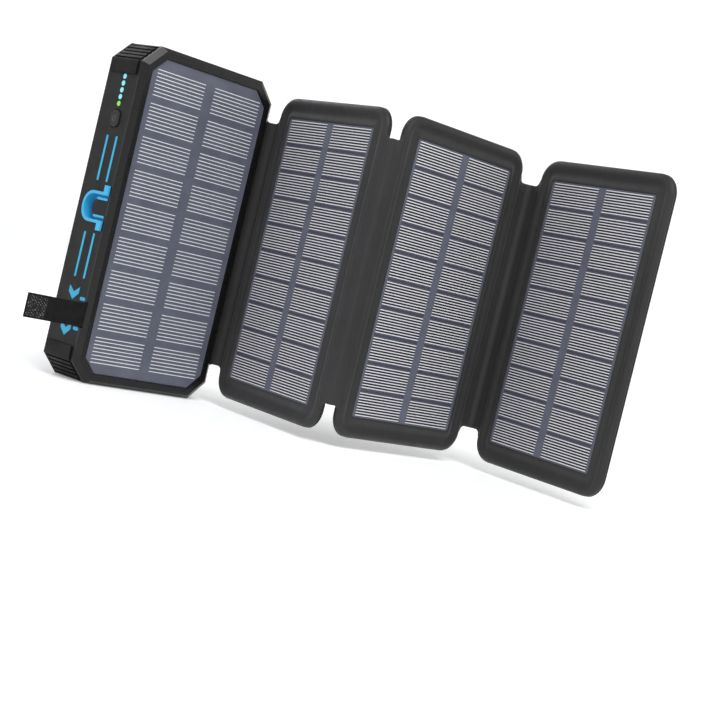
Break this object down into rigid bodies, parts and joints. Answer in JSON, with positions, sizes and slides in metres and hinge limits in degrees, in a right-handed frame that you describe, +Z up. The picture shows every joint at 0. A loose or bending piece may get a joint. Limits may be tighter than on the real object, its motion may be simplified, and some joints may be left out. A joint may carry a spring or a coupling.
{
  "type": "solar phone charger",
  "caption": "Rugged solar power bank with fold-out solar panels, built-in charging cables, a flashlight, a wrist strap and a power button.",
  "frame": {"origin": "centre of the body's flat bottom end, at mid-thickness", "axes": "+Z up along the body's long side; the body's solar face looks along -Y and its back along +Y; the indicator wall is at -X and the panels are hinged at +X"},
  "size_m": [0.202, 0.2135, 0.157],
  "materials": {
    "housing_plastic": "fine matte texture",
    "bezel_plastic": "satin black",
    "solar_laminate": "clear laminate over slate backing with striped cells",
    "blue_trim": "satin blue",
    "grip_rubber": "knurled",
    "bumper_rubber": "grooved, matte",
    "lamp_lens": "frosted, lit",
    "indicator_lens": "lit light pipe",
    "circuit_board": "green solder mask",
    "side_inlay": "satin light blue",
    "button_plastic": "matte",
    "switch_plastic": "matte",
    "battery_foil": "foil pouch",
    "socket_steel": "nickel plated",
    "screw_steel": "black zinc",
    "cable_jacket": "soft matte flat cable",
    "plug_plastic": "matte",
    "tip_metal": "bright plated",
    "contact_gold": "gold plated",
    "panel_leather": "grained synthetic leather",
    "panel_board": "pressed fibre board",
    "strap_webbing": "woven nylon with a hook patch"
  },
  "bodies": {
    "housing": {"anchor_tongue": "housing_plastic", "battery_cells": "battery_foil", "body_laminate": "solar_laminate", "bumper_bottom_left": "bumper_rubber", "bumper_bottom_right": "bumper_rubber", "bumper_top_left": "bumper_rubber", "bumper_top_right": "bumper_rubber", "button_switch": "switch_plastic", "cable_tray": "blue_trim", "case_screws": "screw_steel", "circuit_board": "circuit_board", "corner_pads": "grip_rubber", "corner_trims": "blue_trim", "front_bezel": "bezel_plastic", "grip_pad_left": "grip_rubber", "grip_pad_right": "grip_rubber", "grip_trims": "blue_trim", "hinge_strip": "panel_leather", "indicator_lenses": "indicator_lens", "label_trim": "blue_trim", "lanyard_anchor": "blue_trim", "lead_roots": "cable_jacket", "light_board": "circuit_board", "light_lens": "lamp_lens", "light_trim": "blue_trim", "rear_shell": "housing_plastic", "side_inlays": "side_inlay", "strap_root": "strap_webbing", "usb_a_socket": "socket_steel", "usb_c_socket": "socket_steel"},
    "button": {"power_button": "button_plastic"},
    "port_lid": {"port_cover": "grip_rubber"},
    "strap_1": {"strap_base": "strap_webbing"},
    "strap_2": {"strap_middle": "strap_webbing"},
    "strap_3": {"strap_tip": "strap_webbing"},
    "cable_1": {"lead_1": "cable_jacket", "plug_1": "plug_plastic", "plug_tip_1": "tip_metal"},
    "cable_2": {"lead_2": "cable_jacket", "plug_2": "plug_plastic", "plug_tip_2": "tip_metal"},
    "cable_3": {"lead_3": "cable_jacket", "plug_3": "plug_plastic", "plug_tip_3": "tip_metal"},
    "cable_4": {"lead_4": "cable_jacket", "plug_4": "plug_plastic", "plug_tip_4": "contact_gold"},
    "panel_1": {"panel_1_front": "panel_leather", "panel_1_laminate": "solar_laminate", "panel_1_board": "panel_board", "panel_1_back": "panel_leather"},
    "panel_2": {"panel_2_front": "panel_leather", "panel_2_laminate": "solar_laminate", "panel_2_board": "panel_board", "panel_2_back": "panel_leather"},
    "panel_3": {"panel_3_front": "panel_leather", "panel_3_laminate": "solar_laminate", "panel_3_board": "panel_board", "panel_3_back": "panel_leather"}
  },
  "joints": [
    {"name": "fold_1", "type": "hinge", "parent": "housing", "child": "panel_1", "pos_m": [0.04267, -0.01345, 0.07885], "axis": [0, 0, -1], "range_deg": [-99, 81]},
    {"name": "fold_2", "type": "hinge", "parent": "panel_1", "child": "panel_2", "pos_m": [0.03249, -0.10458, 0.07885], "axis": [0, 0, -1], "range_deg": [-81, 99]},
    {"name": "fold_3", "type": "hinge", "parent": "panel_2", "child": "panel_3", "pos_m": [0.12697, -0.10878, 0.07885], "axis": [0, 0, -1], "range_deg": [-99, 81]},
    {"name": "power_press", "type": "slide", "parent": "housing", "child": "button", "axis": [1, 0, 0], "range_m": [0, 0.0005], "stiffness_N_per_m": 400},
    {"name": "port_lid_open", "type": "hinge", "parent": "housing", "child": "port_lid", "pos_m": [0.0115, 0.00505, 0.1566], "axis": [-1, 0, 0], "range_deg": [0, 120]},
    {"name": "strap_bend_1", "type": "hinge", "parent": "housing", "child": "strap_1", "pos_m": [-0.0414, -0.01065, 0.03045], "axis": [0, 0, -1], "range_deg": [0, 70]},
    {"name": "strap_bend_2", "type": "hinge", "parent": "strap_1", "child": "strap_2", "pos_m": [-0.0504, -0.01065, 0.03045], "axis": [0, 0, -1], "range_deg": [-90, 10]},
    {"name": "strap_bend_3", "type": "hinge", "parent": "strap_2", "child": "strap_3", "pos_m": [-0.06, -0.01065, 0.03045], "axis": [0, 0, -1], "range_deg": [-90, 10]},
    {"name": "cable_lift_1", "type": "hinge", "parent": "housing", "child": "cable_1", "pos_m": [0.0182, 0.01155, 0.007], "axis": [-1, 0, 0], "range_deg": [0, 100]},
    {"name": "cable_lift_2", "type": "hinge", "parent": "housing", "child": "cable_2", "pos_m": [0.0065, 0.01155, 0.007], "axis": [-1, 0, 0], "range_deg": [0, 100]},
    {"name": "cable_lift_3", "type": "hinge", "parent": "housing", "child": "cable_3", "pos_m": [-0.0052, 0.01155, 0.007], "axis": [-1, 0, 0], "range_deg": [0, 100]},
    {"name": "cable_lift_4", "type": "hinge", "parent": "housing", "child": "cable_4", "pos_m": [-0.0169, 0.01155, 0.007], "axis": [-1, 0, 0], "range_deg": [0, 100]}
  ],
  "couplings": [
    {"joint": "fold_2", "follows": "fold_1", "ratio": -1},
    {"joint": "fold_3", "follows": "fold_1", "ratio": 1}
  ]
}
